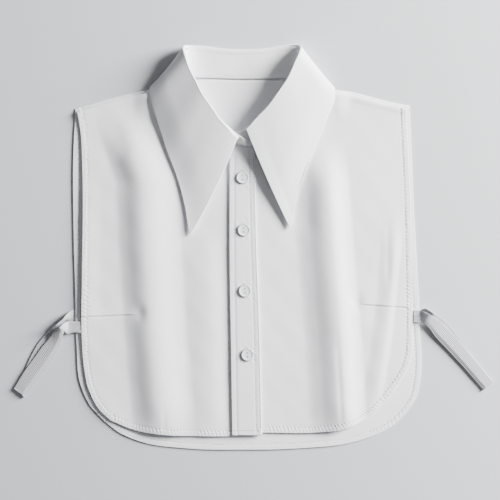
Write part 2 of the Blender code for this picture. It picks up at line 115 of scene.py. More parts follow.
def laid_out(top, bottom, left, right, across, down):
    """Plan points of a panel between its four cut lines."""
    top, bottom = paced(top, across), paced(bottom, across)
    left, right = paced(left, down), paced(right, down)
    u, v = across[None, :, None], down[:, None, None]
    edges = (1 - v) * top[None] + v * bottom[None] + (1 - u) * left[:, None] + u * right[:, None]
    corners = (1 - v) * ((1 - u) * top[0] + u * top[-1]) + v * ((1 - u) * bottom[0] + u * bottom[-1])
    return edges - corners


def from_edge(x, y, line):
    """Distance of each plan point from a line, and how far along the line it is."""
    run = np.concatenate([[0], np.cumsum(np.linalg.norm(np.diff(line, axis=0), axis=1))])
    away = np.full(x.shape, 1e9)
    where = np.zeros(x.shape)
    for (px, py), at in zip(line, run):
        reach = (x - px) ** 2 + (y - py) ** 2
        nearer = reach < away
        away = np.where(nearer, reach, away)
        where = np.where(nearer, at, where)
    return np.sqrt(away), where


def hem_relief(x, y, line):
    """The turned hem's extra layers, the groove of its stitches and the slanting puckers that they pull."""
    away, run = from_edge(x, y, line)
    turned = HEM_STEP * ease((HEM_WIDTH - away) / HEM_TURN)
    groove = STITCH_GROOVE * np.exp(-(((away - HEM_WIDTH + STITCH_INSET) / 0.8) ** 2))
    uneven = 0.75 + 0.25 * np.sin(run / 13.0) * np.sin(run / 31.0 + 1)
    slant = np.sin(run * HEM_PUCKER_RATE + away * 0.7 + 1.3 * np.sin(run / 9.0))
    near_stitches = np.exp(-(((away - 0.7 * HEM_WIDTH) / 3.2) ** 2))
    return turned - groove + HEM_PUCKER * uneven * slant * near_stitches


# The faint unevenness of pressed cloth lying loose, as three ripples: the height of each, its lengths
# along x and y and where it starts, and the same of the slower wave that breaks it up.
NO_WAVE = float("inf")
Ripple = namedtuple("Ripple", "height long_x long_y start break_x break_y break_start")
RIPPLES = (
    Ripple(0.16, 19, 47, 0, NO_WAVE, 33, 1.1),
    Ripple(0.08, 8.3, -21, 2, NO_WAVE, 13.7, 0),
    Ripple(0.05, 4.9, 6.1, 0, 27, NO_WAVE, 0.4),
)


def slack(x, y):
    height = 0
    for ripple in RIPPLES:
        wave = np.sin(x / ripple.long_x + y / ripple.long_y + ripple.start)
        height = height + ripple.height * wave * np.sin(x / ripple.break_x + y / ripple.break_y
                                                        + ripple.break_start)
    return height


# Where the fall of the collar lies under the back: the ramps by which the panel climbs it.
BACK_REST = 0.5
LEAF_RAMP_START = 6
LEAF_RAMP = 27
LEAF_MIDDLE = -5
LEAF_HALF_WIDTH = 110
LEAF_SIDE_RAMP = 16


def back_height(x, y):
    inside = LEAF_HALF_WIDTH - np.abs(x - LEAF_MIDDLE)
    over_leaf = ease((y - LEAF_RAMP_START) / LEAF_RAMP) * ease(inside / LEAF_SIDE_RAMP)
    return BACK_REST + over_leaf * LEAF_LIFT


def woven(name, colour, roughness, thread, depth, sheen):
    """Plain weave: two crossing sets of fine threads, a little uneven in tone."""
    made = bpy.data.materials.new(name)
    made.use_nodes = True
    nodes, links = made.node_tree.nodes, made.node_tree.links
    shader = nodes["Principled BSDF"]
    shader.inputs["Roughness"].default_value = roughness
    shader.inputs["Sheen Weight"].default_value = sheen
    shader.inputs["Sheen Roughness"].default_value = 0.45
    place = nodes.new("ShaderNodeTexCoord").outputs["Object"]
    threads = []
    for direction in ("X", "Y"):
        wave = nodes.new("ShaderNodeTexWave")
        wave.bands_direction = direction
        wave.inputs["Scale"].default_value = 1 / (thread * MM * 6.28)
        wave.inputs["Distortion"].default_value = 0.6
        wave.inputs["Detail"].default_value = 1
        links.new(place, wave.inputs["Vector"])
        threads.append(wave.outputs["Fac"])
    weave = nodes.new("ShaderNodeMath")
    weave.operation = "MULTIPLY"
    links.new(threads[0], weave.inputs[0])
    links.new(threads[1], weave.inputs[1])
    bump = nodes.new("ShaderNodeBump")
    bump.inputs["Strength"].default_value = 0.17
    bump.inputs["Distance"].default_value = depth * MM
    links.new(weave.outputs[0], bump.inputs["Height"])
    links.new(bump.outputs["Normal"], shader.inputs["Normal"])
    cloud = nodes.new("ShaderNodeTexNoise")
    cloud.inputs["Scale"].default_value = 55
    cloud.inputs["Detail"].default_value = 4
    links.new(place, cloud.inputs["Vector"])
    tone = nodes.new("ShaderNodeValToRGB")
    tone.color_ramp.elements[0].position = 0.25
    tone.color_ramp.elements[1].position = 0.75
    tone.color_ramp.elements[0].color = (*[0.965 * part for part in colour], 1)
    tone.color_ramp.elements[1].color = (*colour, 1)
    links.new(cloud.outputs["Fac"], tone.inputs["Fac"])
    links.new(tone.outputs["Color"], shader.inputs["Base Color"])
    return made


def cloth_piece(name, points, thick, cloth):
    """A thin shell through a grid of points in millimetres."""
    rows, columns = points.shape[:2]
    index = np.arange(rows * columns).reshape(rows, columns)
    faces = np.stack([index[:-1, :-1], index[1:, :-1], index[1:, 1:], index[:-1, 1:]], axis=-1)
    mesh = bpy.data.meshes.new(name)
    mesh.from_pydata((points.reshape(-1, 3) * MM).tolist(), [], faces.reshape(-1, 4).tolist())
    mesh.shade_smooth()
    mesh.materials.append(cloth)
    piece = bpy.data.objects.new(name, mesh)
    bpy.context.scene.collection.objects.link(piece)
    wall = piece.modifiers.new("wall", "SOLIDIFY")
    wall.thickness = thick * MM
    wall.offset = 0
    return piece


def stitched(name, lines, pitch, length, width, thread, slant=0.0, lift=0.32):
    """Rows of machine stitches along lines of points in millimetres, as one mesh."""
    points, faces = [], []
    for line in lines:
        line = np.asarray(line, float)
        run = np.linalg.norm(np.diff(line, axis=0), axis=1).sum()
        count = max(int(run / pitch), 2)
        spots = paced(line, (np.arange(count) + 0.5) / count)
        ahead = paced(line, np.clip((np.arange(count) + 0.9) / count, 0, 1)) - spots
        ahead /= np.linalg.norm(ahead, axis=1)[:, None]
        beside = np.stack([-ahead[:, 1], ahead[:, 0], 0 * ahead[:, 0]], axis=1)
        ahead = ahead + beside * slant
        for spot, way, side in zip(spots, ahead, beside):
            start = len(points)
            up = np.array((0, 0, width * 0.2))
            spot = spot + np.array((0, 0, lift))
            points += [spot - way * length / 2 - up, spot + way * length / 2 - up,
                       spot - side * width / 2, spot + side * width / 2, spot + up, spot - up]
            for a, b, c in ((0, 2, 4), (2, 1, 4), (1, 3, 4), (3, 0, 4), (2, 0, 5), (1, 2, 5), (3, 1, 5),
                            (0, 3, 5)):
                faces.append((start + c, start + b, start + a))
    mesh = bpy.data.meshes.new(name)
    mesh.from_pydata((np.array(points) * MM).tolist(), [], faces)
    mesh.shade_smooth()
    mesh.materials.append(thread)
    piece = bpy.data.objects.new(name, mesh)
    bpy.context.scene.collection.objects.link(piece)
    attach(piece, "root")
    return piece


def inset(line, by):
    """A plan line moved to its left by the given distance."""
    way = np.gradient(line[:, :2], axis=0)
    way /= np.linalg.norm(way, axis=1)[:, None]
    return line[:, :2] + by * np.stack([-way[:, 1], way[:, 0]], axis=1)


poplin = woven("white_poplin", (0.83, 0.83, 0.86), 0.82, 0.32, 0.05, 0.12)
# The stitches' dark grey colour is painted shade: the real thread is white, and the grey stands in for the
# shade in the needle holes and the dimples the thread sinks into.
thread = woven("painted_stitch_shade", (0.22, 0.22, 0.24), 0.7, 0.15, 0.03, 0.2)

back_top = cut_line(RIGHT_SHOULDER, BACK_NECK, LEFT_SHOULDER[::-1])
back_right = cut_line(BACK_RIGHT_SIDE)
back_left = cut_line(BACK_LEFT_SIDE)
back_hem = cut_line(BACK_HEM)
back_edge = np.vstack([back_right, back_hem[1:], back_left[::-1][1:]])


def back_cloth(x, y):
    return back_height(x, y) + hem_relief(x, y, back_edge) + 0.3 * slack(x, y)


back_plan = laid_out(back_top, back_hem, back_right, back_left,
                     shares(230, (0, 3, 0.04), (1, 3, 0.04)), shares(180, (1, 3, 0.05)))
back_grid = np.dstack([back_plan, back_cloth(back_plan[..., 0], back_plan[..., 1])])
back_panel = cloth_piece("back_poplin", back_grid, POPLIN_THICK, poplin)
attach(back_panel, "root")
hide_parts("back_panel")

back_stitch_plan = inset(back_edge, HEM_WIDTH - STITCH_INSET)
back_stitch_line = np.column_stack([back_stitch_plan, back_cloth(back_stitch_plan[:, 0],
                                                                 back_stitch_plan[:, 1])])
back_stitches = stitched("back_hem_stitches", [back_stitch_line], STITCH_PITCH, STITCH_LENGTH,
                         STITCH_WIDTH, thread, slant=STITCH_SLANT)

# Fronts: two single layers of the same poplin, seamed to the back just in front of the shoulder fold,
# hemmed at the side and bottom, each with a pressed side dart and long soft folds from wear and packing.
LAYER_STEP = 1.7
SHOULDER_RISE = 0.5
SHOULDER_SOFTNESS = 13
FOLD_FADE = 60
FOLD_LEVELS = (-290, -200, -120, -50, 20)
# Soft folds: where each crest runs at the five levels from the shoulder to the hem, how far it reaches
# to its left and right, how high it stands, and the levels between which it shows. The last two rows
# sharpen the two main folds along their crests.
Fold = namedtuple("Fold", "shoulder armhole chest dart hem left right height starts ends")
FOLDS = (
    Fold(-127, -103, -99.5, -94, -86, 30, 36, 4.6, 30, -330),
    Fold(72, 79.5, 84.5, 91.5, 97, 36, 24, 4.8, 0, -330),
    Fold(-40, -40, -41, -38, -36, 26, 18, 1.3, -80, -330),
    Fold(-166, -166, -166, -166, -166, 12, 22, 1.0, -30, -230),
    Fold(150, 148, 146, 138, 124, 14, 9, 1.2, -70, -300),
    Fold(-127, -103, -99.5, -94, -86, 20, 24, 0.8, 20, -330),
    Fold(72, 79.5, 84.5, 91.5, 97, 22, 15, 1.3, -10, -330),
)
# Narrow pressed creases: ends in plan, half width, depth.
Crease = namedtuple("Crease", "x0 y0 x1 y1 reach depth")
CREASES = (
    Crease(89, -196, 95, -303, 2.6, -0.36),
    Crease(-82, -270, -82, -303, 2.2, -0.2),
    Crease(141, -80, 141, -160, 3.0, -0.35),
    Crease(143, -118, 128, -198, 9.0, -0.5),
    Crease(-135, 15, -118, -30, 9.0, -0.6),
    Crease(66, -30, 58, -110, 10.0, -0.5),
)
# Side darts: from the side edge to the point.
DART_LAP = 0.55
DART_LAP_REACH = 6.0
DART_GROOVE = 0.25
DIMPLE_DEPTH = 0.85
DIMPLE_PAST = 3.5
Dart = namedtuple("Dart", "x0 y0 x1 y1")
RIGHT_DART = Dart(-165.6, -184.9, -109.5, -182.6)
LEFT_DART = Dart(160, -175.5, 112.5, -172.6)


def shoulder_y(x):
    line = np.array(RIGHT_SHOULDER + LEFT_SHOULDER[::-1], float)
    return np.interp(x, line[:, 0], line[:, 1])


def along_line(x, y, line):
    """Share along a straight line and signed distance from it, positive to its left."""
    dx, dy = line.x1 - line.x0, line.y1 - line.y0
    length = np.hypot(dx, dy)
    share = ((x - line.x0) * dx + (y - line.y0) * dy) / length**2
    side = (-(x - line.x0) * dy + (y - line.y0) * dx) / length
    return share, side


def front_height(x, y):
    height = back_height(x, y) + LAYER_STEP
    height = height + SHOULDER_RISE * np.exp(-(((shoulder_y(x) - y) / SHOULDER_SOFTNESS) ** 2))
    for fold in FOLDS:
        crest = np.interp(y, FOLD_LEVELS, (fold.hem, fold.dart, fold.chest, fold.armhole, fold.shoulder))
        reach = np.where(x < crest, fold.left, fold.right)
        bump = np.clip(1 - ((x - crest) / reach) ** 2, 0, 1) ** 2
        fade = ease((fold.starts - y) / FOLD_FADE) * ease((y - fold.ends) / FOLD_FADE)
        height = height + fold.height * bump * fade
    return height


def creased(x, y):
    relief = 0
    for crease in CREASES:
        share, side = along_line(x, y, crease)
        fade = ease(share * 2.5) * ease((1 - share) * 4)
        relief = relief + crease.depth * fade * np.exp(-((side / crease.reach) ** 2))
    return relief


def darted(x, y, dart):
    """A pressed tuck: the cloth above laps over the seam and drops at it, with a dimple past its point."""
    share, side = along_line(x, y, dart)
    inward = 1 if dart.x1 > dart.x0 else -1
    above = side * inward
    fade = ease((share + 0.05) * 20) * ease((1.02 - share) * 5)
    lap = DART_LAP * ease(above + 0.5) * np.exp(-np.maximum(above, 0) / DART_LAP_REACH)
    groove = DART_GROOVE * np.exp(-(((above + 0.9) / 0.8) ** 2))
    past_x = x - dart.x1 - inward * DIMPLE_PAST
    dimple = DIMPLE_DEPTH * np.exp(-((past_x / 5.5) ** 2 + ((y - dart.y1 - 1) / 7.5) ** 2))
    return fade * (lap - groove) - dimple


ALLOWANCE_HEIGHT = 0.4
ALLOWANCE_MIDDLE = 6.5
ALLOWANCE_REACH = 2.5


def shoulder_seam(x, y):
    """The low ridge of the seam allowance pressed under the shoulder seam."""
    below = shoulder_y(x) - y
    return ALLOWANCE_HEIGHT * np.exp(-(((below - ALLOWANCE_MIDDLE) / ALLOWANCE_REACH) ** 2))


def front_cloth(x, y, edge, dart):
    return (front_height(x, y) + creased(x, y) + darted(x, y, dart) + slack(x, y) + shoulder_seam(x, y)
            + hem_relief(x, y, edge))


SEAM_DROP = 3.3
right_top = cut_line([(x, y - SEAM_DROP) for x, y in ((-169.6, 23.2),) + RIGHT_SHOULDER[1:]],
                     ((-72, 46 - SEAM_DROP), (-67.5, 35), (-58.5, 23), (-47.5, 9), (-35.5, -5),
                      (-20, -13), (3, -17.5)))
right_side = cut_line(((-169.6, 23.2 - SEAM_DROP), (-166.4, 0), (-164.4, -40), (-164.7, -150),
                       (-165, -205), (-163, -234), (-158, -258), (-147.5, -277.5), (-136, -288.5)))
right_hem = cut_line(((-136, -288.5), (-112.5, -298), (-83.5, -302.8), (-46.5, -304.3), (6.5, -304.3)))
right_centre = cut_line(((3, -17.5), (3.5, -150), (6.5, -304.3)))
right_edge = np.vstack([right_side, right_hem[1:]])

left_top = cut_line(((5, -17.5), (19, -10), (33, 4), (46, 20), (57.5, 34), (63, 45.4 - SEAM_DROP)),
                    [(x, y - SEAM_DROP) for x, y in LEFT_SHOULDER[:0:-1] + ((158.8, 26.4),)])
left_centre = cut_line(((5, -17.5), (6, -119), (8.5, -189), (11, -300.8)))
left_side = cut_line(((158.8, 26.4 - SEAM_DROP), (160.7, -17), (162.6, -56), (164.2, -120),
                      (164.9, -200), (164.2, -220), (159.5, -237), (149.5, -253.5), (137.5, -269.5)))
left_hem = cut_line(((11, -300.8), (73.5, -300.3), (94.5, -297.6), (107, -293), (124, -283),
                     (137.5, -269.5)))
left_edge = np.vstack([left_hem, left_side[::-1][1:]])

right_plan = laid_out(right_top, right_hem, right_side, right_centre,
                      shares(165, (0, 2, 0.05)), shares(285, (1, 2, 0.04), (0.62, 1.5, 0.04)))
right_grid = np.dstack([right_plan, front_cloth(right_plan[..., 0], right_plan[..., 1], right_edge,
                                                RIGHT_DART)])
front_right = cloth_piece("front_right_poplin", right_grid, POPLIN_THICK, poplin)
left_plan = laid_out(left_top, left_hem, left_centre, left_side,
                     shares(165, (1, 2, 0.05)),
                     shares(285, (1, 2, 0.04), (0.62, 1.5, 0.05)))
left_grid = np.dstack([left_plan, front_cloth(left_plan[..., 0], left_plan[..., 1], left_edge,
                                              LEFT_DART)])
front_left = cloth_piece("front_left_poplin", left_grid, POPLIN_THICK, poplin)
for piece, node in ((front_right, "front_right"), (front_left, "front_left")):
    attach(piece, "root")
    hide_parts(node)

front_seams = []
for edge, dart in ((right_edge, RIGHT_DART), (left_edge, LEFT_DART)):
    plan = inset(edge, HEM_WIDTH - STITCH_INSET)
    front_seams.append(np.column_stack([plan, front_cloth(plan[:, 0], plan[:, 1], edge, dart)]))
front_stitches = stitched("front_hem_stitches", front_seams, STITCH_PITCH, STITCH_LENGTH, STITCH_WIDTH,
                          thread, slant=STITCH_SLANT)

# Placket: a folded strip of interfaced poplin on the left front's edge, topstitched along both sides
# and lapped over the right front, with four vertical worked buttonholes.
PLACKET_THICK = 0.9
BUTTONS = ((-4.3, -46.3), (-3.1, -98.6), (-2.1, -159.2), (0.5, -222.8))
PLACKET_LIFT = 1.45
PLACKET_HEM_STEP = 5.5
PLACKET_STITCH_LIFT = 0.4
BUTTONHOLE_LENGTH = 16
BUTTONHOLE_SINK = 0.25
BUTTON_DRAG = 0.09
BUTTON_DRAG_REACH = 11.0
placket_top = cut_line(((-17.5, -12.5), (-10.5, -13.8), (0.5, -15.8), (7.5, -16)))
placket_hem = cut_line(((-15, -303.3), (15.1, -303.3)))
placket_free = cut_line(((-17.5, -12.5), (-17.5, -139), (-16.2, -220), (-15, -303.3)))
placket_seam = cut_line(((7.5, -16), (10, -119), (12.5, -189), (15.1, -303.3)))


def placket_cloth(x, y):
    """The strip, with its stitched-down sides, the pull of the stitches and the drag at each button."""
    height = front_height(x, y) + PLACKET_LIFT
    free_away, free_run = from_edge(x, y, placket_free)
    seam_away, seam_run = from_edge(x, y, placket_seam)
    for away, run, turn in ((free_away, free_run, 1.0), (seam_away, seam_run, 1.7)):
        sunk = -STITCH_GROOVE * np.exp(-(((away - PLACKET_HEM_STEP) / 0.9) ** 2))
        pull = 0.10 * np.sin(run * 1.25 + turn * away + np.sin(run / 7))
        height = height + sunk + pull * np.exp(-(((away - 5) / 2.6) ** 2))
    for bx, by in BUTTONS:
        cut = np.exp(-(((x - bx) / 1.6) ** 2 + ((y - by) / (BUTTONHOLE_LENGTH / 2)) ** 4))
        reach = np.exp(-((x - bx) ** 2 + (y - by) ** 2) / BUTTON_DRAG_REACH**2)
        drag = np.sin((x - bx) * 0.9 + (y - by) * 0.35)
        height = height - BUTTONHOLE_SINK * cut + BUTTON_DRAG * drag * reach
    return height + 0.4 * slack(x, y * 1.7)


placket_plan = laid_out(placket_top, placket_hem, placket_free, placket_seam, shares(42), shares(330))
placket_grid = np.dstack([placket_plan, placket_cloth(placket_plan[..., 0], placket_plan[..., 1])])
placket = cloth_piece("placket_strip", placket_grid, PLACKET_THICK, poplin)
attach(placket, "root")
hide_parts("placket")

placket_lines = []
for line, by in ((placket_free, PLACKET_HEM_STEP), (placket_seam, -PLACKET_HEM_STEP), (placket_seam, -1.2)):
    plan = inset(line, by)[6:-4]
    placket_lines.append(np.column_stack([plan, placket_cloth(plan[:, 0], plan[:, 1]) + PLACKET_STITCH_LIFT]))
cross = np.column_stack([np.linspace(-13, 13.6, 12), np.full(12, -298.2)])
placket_lines.append(np.column_stack([cross, placket_cloth(cross[:, 0], cross[:, 1]) + PLACKET_STITCH_LIFT]))
placket_stitches = stitched("placket_stitches", placket_lines, pitch=2.8, length=1.8, width=0.8,
                            thread=thread, slant=0.1)
hole_lines = []
for bx, by in BUTTONS:
    for side in (-0.75, 0.75):
        y = np.linspace(by - BUTTONHOLE_LENGTH / 2, by + BUTTONHOLE_LENGTH / 2, 24)
        x = np.full(24, bx + side)
        hole_lines.append(np.column_stack([x, y, placket_cloth(x, y) + PLACKET_STITCH_LIFT]))
hole_thread = woven("buttonhole_thread", (0.62, 0.62, 0.65), 0.55, 0.15, 0.03, 0.2)
buttonholes = stitched("buttonhole_stitches", hole_lines, pitch=0.6, length=1.3, width=0.4,
                       thread=hole_thread, slant=1.6)

# Collar stand: an interfaced band, 30 mm high, sewn to the neck. Its inner face shows round the back
# of the neck, with one row of stitching below its top edge, and its rounded ends lap at the front.
STAND_THICK = 0.9
# Sections of the stand, each from its top edge to the neck seam: from the wearer's right end, which
# laps over the other one, round the back of the neck to the left end.
Stand = namedtuple("Stand", "top_x top_y top_z seam_x seam_y seam_z")
STAND = (
    Stand(4.6, -13.2, 9.0, 4.2, -14.8, 8.5),
    Stand(1.0, -10.6, 10.4, 1.2, -15.4, 8.2),
    Stand(-5.0, -6.8, 12.0, -4.0, -14.4, 7.8),
    Stand(-11.0, -3.0, 12.8, -9.0, -12.6, 7.5),
    Stand(-18.0, 1.6, 13.0, -19.0, -9.0, 6.9),
    Stand(-26.6, 10.0, 13.9, -33.5, -1.0, 5.2),
    Stand(-35.4, 22.3, 15.3, -45.0, 13.5, 4.8),
    Stand(-44.4, 35.2, 16.8, -56.0, 28.0, 5.2),
    Stand(-51.4, 49.0, 17.0, -66.0, 40.0, 5.4),
    Stand(-57.2, 60.8, 16.9, -70.4, 48.6, 5.8),
    Stand(-60.4, 72.0, 14.6, -69.4, 52.0, 5.6),
    Stand(-60.8, 78.8, 11.4, -65.6, 53.4, 4.8),
    Stand(-58.8, 82.0, 8.6, -60.5, 53.9, 4.1),
    Stand(-53.5, 83.3, 6.2, -54.0, 53.6, 3.6),
    Stand(-43.0, 83.6, 4.7, -43.0, 53.2, 3.4),
    Stand(-26.5, 81.4, 4.3, -26.5, 52.6, 3.3),
    Stand(-4.0, 80.3, 4.3, -4.0, 52.1, 3.3),
    Stand(17.5, 81.2, 4.3, 17.5, 52.4, 3.3),
    Stand(34.0, 83.8, 4.7, 34.0, 53.0, 3.4),
    Stand(43.8, 84.0, 6.2, 45.0, 52.9, 3.6),
    Stand(49.0, 82.2, 8.6, 51.5, 52.8, 4.1),
    Stand(51.0, 79.3, 11.4, 57.0, 52.0, 4.8),
    Stand(50.8, 74.0, 14.6, 60.6, 50.6, 5.6),
    Stand(47.4, 66.0, 16.7, 61.2, 47.0, 5.8),
    Stand(41.2, 52.0, 17.0, 55.6, 37.6, 5.4),
    Stand(31.3, 37.2, 16.4, 43.6, 24.5, 5.2),
    Stand(20.3, 22.3, 14.9, 31.0, 8.0, 4.9),
    Stand(9.4, 11.2, 13.4, 18.0, -5.5, 5.0),
    Stand(1.6, 2.4, 12.4, 8.0, -13.0, 5.1),
    Stand(-5.5, -0.5, 10.6, -3.0, -14.2, 4.8),
    Stand(-15.0, -0.9, 8.2, -13.0, -12.6, 4.6),
)
stand_sections = drafted(STAND, np.linspace(0, 1, 360))


def stand_at(share):
    """A line round the stand, from 0 at its top edge to 1 at the neck seam."""
    top, seam = stand_sections[:, :3], stand_sections[:, 3:]
    line = top + (seam - top) * share
    line[:, 2] += 0.12 * np.sin(np.linspace(0, 60, len(line))) * np.sin(np.pi * share)
    line[:, 2] -= 0.45 * ease((share - 0.85) / 0.15)
    return line


collar_poplin = woven("collar_poplin", (0.85, 0.85, 0.88), 0.78, 0.32, 0.04, 0.12)
stand_grid = np.stack([stand_at(share) for share in np.linspace(0, 1, 26)])
stand = cloth_piece("stand_band", stand_grid, STAND_THICK, collar_poplin)
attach(stand, "root")
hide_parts("collar_stand")
round_the_back = slice(130, 262)
top_row = stand_at(0.125)[round_the_back] + (0, 0, STAND_THICK / 2)
stand_stitches = stitched("stand_stitches", [top_row], pitch=2.6, length=1.7, width=0.7,
                          thread=thread, lift=0.1)

# Collar leaf: the long-pointed fall, one interfaced piece folded over the stand's top. Its edges are
# turned and pressed sharp, and its points and outer edges stand a little proud of the fronts.
LEAF_THICK = 1.0
EDGE_SINK = 1.0
LEAF_EVENED = 0.22
LEAF_REST = 1.25
LIP_EVENED = 31
# Sections of the leaf, each from the fold to the free edge, from the wearer's right point round the
# back to the left one. bow pushes a section sideways at its middle, and drop says how soon it falls.
Leaf = namedtuple("Leaf", "fold_x fold_y fold_z edge_x edge_y edge_z bow drop")
LEAF = (
    Leaf(-10.5, -10.5, 12.6, -56.0, -103.5, 5.6, 2.2, 2.2),
    Leaf(-14.5, -6.0, 13.6, -58.2, -98.0, 5.2, 1.8, 2.1),
    Leaf(-20.5, 2.0, 15.0, -60.4, -83.0, 4.9, 1.2, 1.9),
    Leaf(-27.0, 9.5, 16.0, -63.2, -69.0, 4.8, 0.6, 1.7),
    Leaf(-35.5, 22.0, 17.6, -70.0, -45.0, 4.9, 0, 1.5),
    Leaf(-44.5, 35.0, 19.2, -79.5, -20.0, 5.6, 0, 1.3),
    Leaf(-51.5, 49.0, 19.6, -87.5, 5.0, 6.4, 0, 1.2),
    Leaf(-57.5, 61.0, 19.6, -93.2, 22.0, 7.2, 0.4, 1.1),
    Leaf(-61.8, 74.0, 17.6, -96.4, 34.0, 7.4, 1.0, 1.0),
    Leaf(-63.4, 81.5, 13.2, -96.8, 41.6, 6.6, 1.8, 1.0),
    Leaf(-62.0, 84.5, 8.3, -94.6, 45.4, 2.9, 1.8, 1.0),
    Leaf(-57.0, 85.2, 4.4, -86.0, 43.4, 0.8, 1.0, 1.3),
    Leaf(-44.0, 85.0, 2.3, -66.0, 38.5, 0.7, 0, 2.5),
    Leaf(-26.5, 82.6, 2.0, -36.0, 36.0, 0.7, 0, 3.0),
    Leaf(-3.0, 81.4, 2.0, -4.0, 35.0, 0.7, 0, 3.0),
    Leaf(17.5, 82.4, 2.0, 28.0, 36.0, 0.7, 0, 3.0),
    Leaf(35.0, 85.2, 2.3, 58.0, 38.5, 0.7, 0, 2.5),
    Leaf(47.0, 86.0, 4.4, 76.0, 42.4, 0.8, -0.4, 1.3),
    Leaf(52.2, 84.6, 8.3, 84.4, 45.0, 2.9, -0.8, 1.0),
    Leaf(53.6, 82.0, 13.0, 87.2, 41.4, 6.6, -0.8, 1.0),
    Leaf(52.3, 76.0, 17.4, 86.6, 32.0, 7.4, -0.4, 1.0),
    Leaf(48.0, 66.5, 19.3, 79.8, 13.0, 7.2, 0, 1.1),
    Leaf(41.5, 52.0, 19.6, 70.0, -11.0, 6.4, 0, 1.2),
    Leaf(31.5, 37.0, 18.8, 58.8, -39.0, 5.6, 0, 1.3),
    Leaf(20.5, 22.0, 17.2, 50.2, -66.0, 4.9, 0, 1.5),
    Leaf(9.5, 11.0, 15.8, 46.6, -82.0, 4.9, -0.4, 1.8),
    Leaf(3.5, 4.0, 14.9, 45.0, -91.0, 5.3, -0.8, 2.0),
    Leaf(-0.5, -0.5, 14.2, 42.7, -97.0, 5.8, -1.0, 2.2),
)
leaf_sections = drafted(LEAF, np.linspace(0, 1, 420))


def leaf_at(share):
    """A line round the leaf, from 0 at the fold to 1 at its free edge."""
    fold, edge = leaf_sections[:, :3], leaf_sections[:, 3:6]
    bow, drop = leaf_sections[:, 6], leaf_sections[:, 7]
    sideways = np.stack([-(edge - fold)[:, 1], (edge - fold)[:, 0]], axis=1)
    sideways /= np.linalg.norm(sideways, axis=1)[:, None]
    line = fold + (edge - fold) * share
    line[:, :2] += sideways * (bow * 4 * share * (1 - share))[:, None]
    in_front = ease((edge[:, 2] - 2.5) / 2)
    slope = drop * (1 - LEAF_EVENED * in_front)
    line[:, 2] = edge[:, 2] + (fold[:, 2] - edge[:, 2]) * (1 - share) ** slope
    line[:, 2] -= EDGE_SINK * ease((share - 0.55) / 0.45) * in_front
    resting = front_height(line[:, 0], line[:, 1]) + LEAF_REST
    over_front = (in_front == 1) & (line[:, 1] < shoulder_y(line[:, 0]) - SEAM_DROP)
    line[:, 2] = np.where(over_front, np.maximum(line[:, 2], resting), line[:, 2])
    return line


def lip_at(share):
    """The leaf's turn over the stand's top edge, from 0 inside the stand to 1 at the fold."""
    fold = leaf_at(0)
    nearest = np.argmin(np.linalg.norm(fold[:, None, :2] - stand_at(0)[None, :, :2], axis=2), axis=1)
    inner = stand_at(0)[nearest]
    inward = inner - fold
    inward[:, 2] = 0
    margin = ((LIP_EVENED // 2, LIP_EVENED // 2), (0, 0))
    evened = np.ones(LIP_EVENED) / LIP_EVENED
    padded = np.pad(inward, margin, mode="edge")
    inward = np.stack([np.convolve(padded[:, k], evened, "valid") for k in range(3)], axis=1)
    reach = np.linalg.norm(inward, axis=1)[:, None]
    inward = inward / reach * (reach + 0.5)
    line = fold + inward * (1 - share)
    line[:, 2] = fold[:, 2] + 0.35 * np.sin(np.pi * share) - 1.3 * (1 - share) ** 2
    return line


leaf_lines = [lip_at(share) for share in np.linspace(0, 1, 8)[:-1]]
leaf_lines += [leaf_at(share) for share in shares(60, (0, 4, 0.06), (1, 3, 0.04))]
leaf = cloth_piece("leaf_poplin", np.stack(leaf_lines), LEAF_THICK, collar_poplin)
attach(leaf, "root")
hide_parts("collar_leaf")

# Buttons: four two-hole shirt buttons, turned from white resin with a raised rim, held by a few
# turns of thread through holes set one above the other.
BUTTON_RADIUS = 6.25
BUTTON_THICK = 1.5
HOLE_RADIUS = 0.8
HOLE_OFFSET = 1.9
BUTTON_LIFT = 1.95
TIE_HEIGHT = 1.05
RIM_START, RIM_END = 0.90, 0.95


def moulded_resin(name):
    """Soft-gloss white resin, faintly cloudy, with a grey line of shade round the rim."""
    made = bpy.data.materials.new(name)
    made.use_nodes = True
    nodes, links = made.node_tree.nodes, made.node_tree.links
    shader = nodes["Principled BSDF"]
    shader.inputs["Roughness"].default_value = 0.38
    shader.inputs["Coat Weight"].default_value = 0.2
    shader.inputs["Subsurface Weight"].default_value = 0.05
    place = nodes.new("ShaderNodeTexCoord").outputs["Object"]
    cloud = nodes.new("ShaderNodeTexNoise")
    cloud.inputs["Scale"].default_value = 240
    links.new(place, cloud.inputs["Vector"])
    tone = nodes.new("ShaderNodeValToRGB")
    tone.color_ramp.elements[0].color = (0.74, 0.74, 0.77, 1)
    tone.color_ramp.elements[1].color = (0.84, 0.84, 0.86, 1)
    links.new(cloud.outputs["Fac"], tone.inputs["Fac"])
    level = nodes.new("ShaderNodeVectorMath")
    level.operation = "MULTIPLY"
    level.inputs[1].default_value = (1, 1, 0)
    links.new(place, level.inputs[0])
    reach = nodes.new("ShaderNodeVectorMath")
    reach.operation = "LENGTH"
    links.new(level.outputs["Vector"], reach.inputs[0])
    rim = nodes.new("ShaderNodeMapRange")
    rim.inputs["From Min"].default_value = RIM_START * BUTTON_RADIUS * MM
    rim.inputs["From Max"].default_value = RIM_END * BUTTON_RADIUS * MM
    links.new(reach.outputs["Value"], rim.inputs["Value"])
    shaded = nodes.new("ShaderNodeMix")
    shaded.data_type = "RGBA"
    shaded.inputs["B"].default_value = (0.30, 0.30, 0.32, 1)
    links.new(rim.outputs["Result"], shaded.inputs["Factor"])
    links.new(tone.outputs["Color"], shaded.inputs["A"])
    links.new(shaded.outputs["Result"], shader.inputs["Base Color"])
    return made


